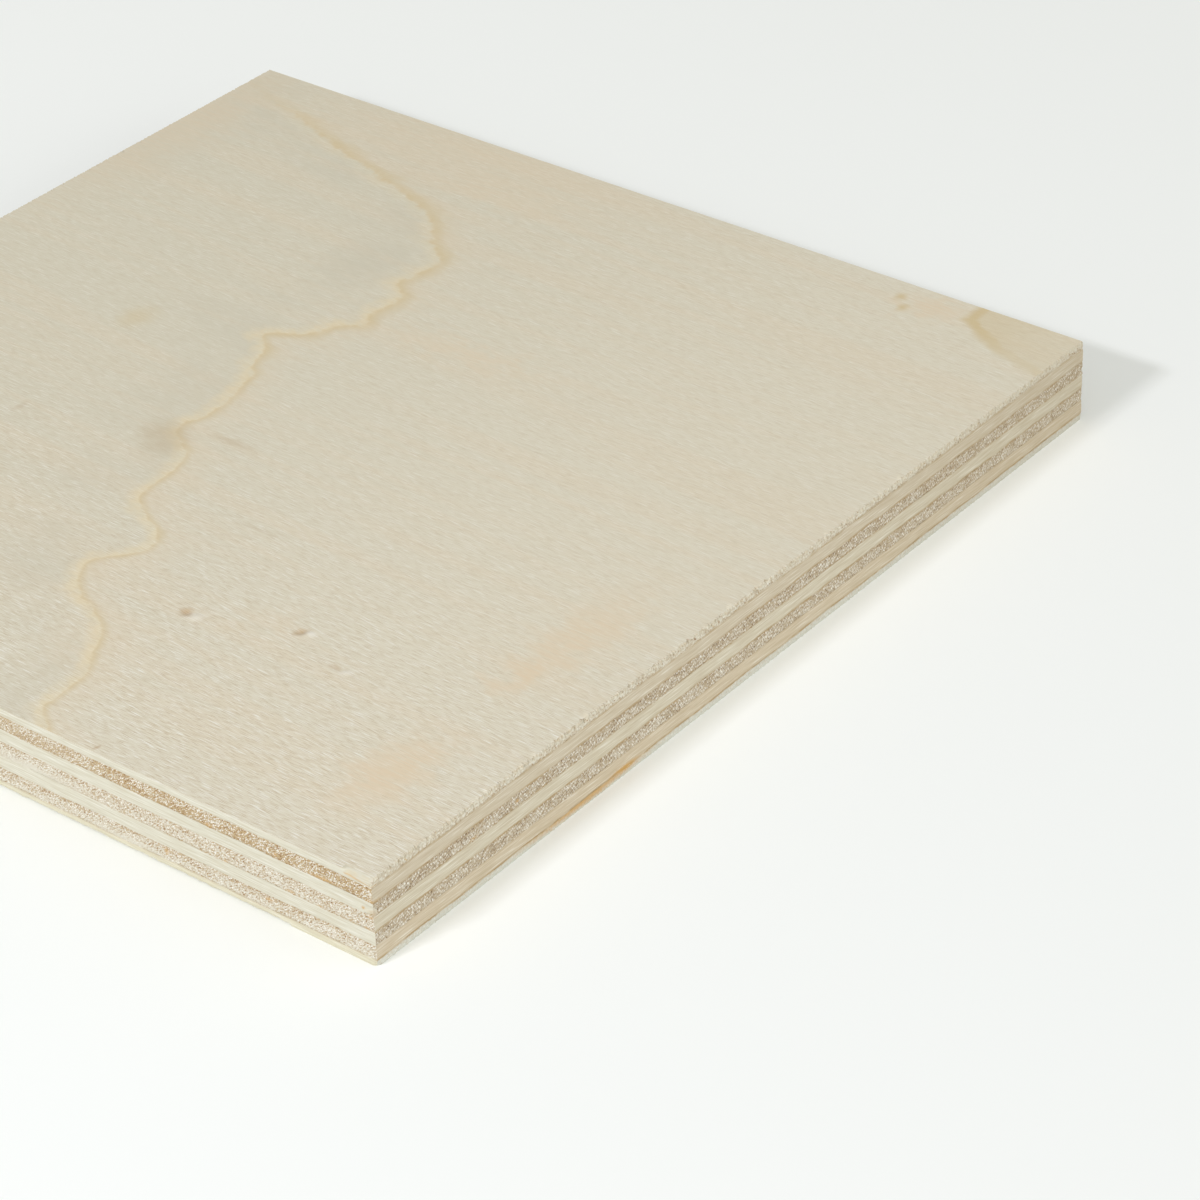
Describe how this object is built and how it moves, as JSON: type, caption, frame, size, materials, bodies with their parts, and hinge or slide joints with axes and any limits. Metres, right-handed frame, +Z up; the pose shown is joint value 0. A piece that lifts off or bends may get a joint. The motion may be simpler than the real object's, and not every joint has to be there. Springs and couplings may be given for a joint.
{
  "type": "plywood sheet",
  "caption": "Square sample of plywood lying flat: thin face and back veneers over thicker cross-laid inner plies, with plain sawn edges, for panelling, boxes and small joinery.",
  "frame": {"origin": "middle of the underside, on the floor under the sheet's centre", "axes": "+X along the grain of the face, towards the end-grain edge at the near corner; +Y across the face; +Z up through the plies, from the back veneer to the face veneer"},
  "size_m": [0.15, 0.15, 0.0125],
  "materials": {
    "face_veneer": "sanded, unsealed, pale cream with fine straight grain",
    "crossband": "sawn edge, speckled end grain on two sides and straight grain on the other two",
    "long_core": "sawn edge, pale straight grain on two sides and speckled end grain on the other two",
    "back_veneer": "sanded, unsealed, pale cream with fine straight grain"
  },
  "bodies": {
    "root": {"face_veneer": "face_veneer", "upper_crossband": "crossband", "upper_long_core": "long_core", "centre_crossband": "crossband", "lower_long_core": "long_core", "lower_crossband": "crossband", "back_veneer": "back_veneer"}
  },
  "joints": []
}
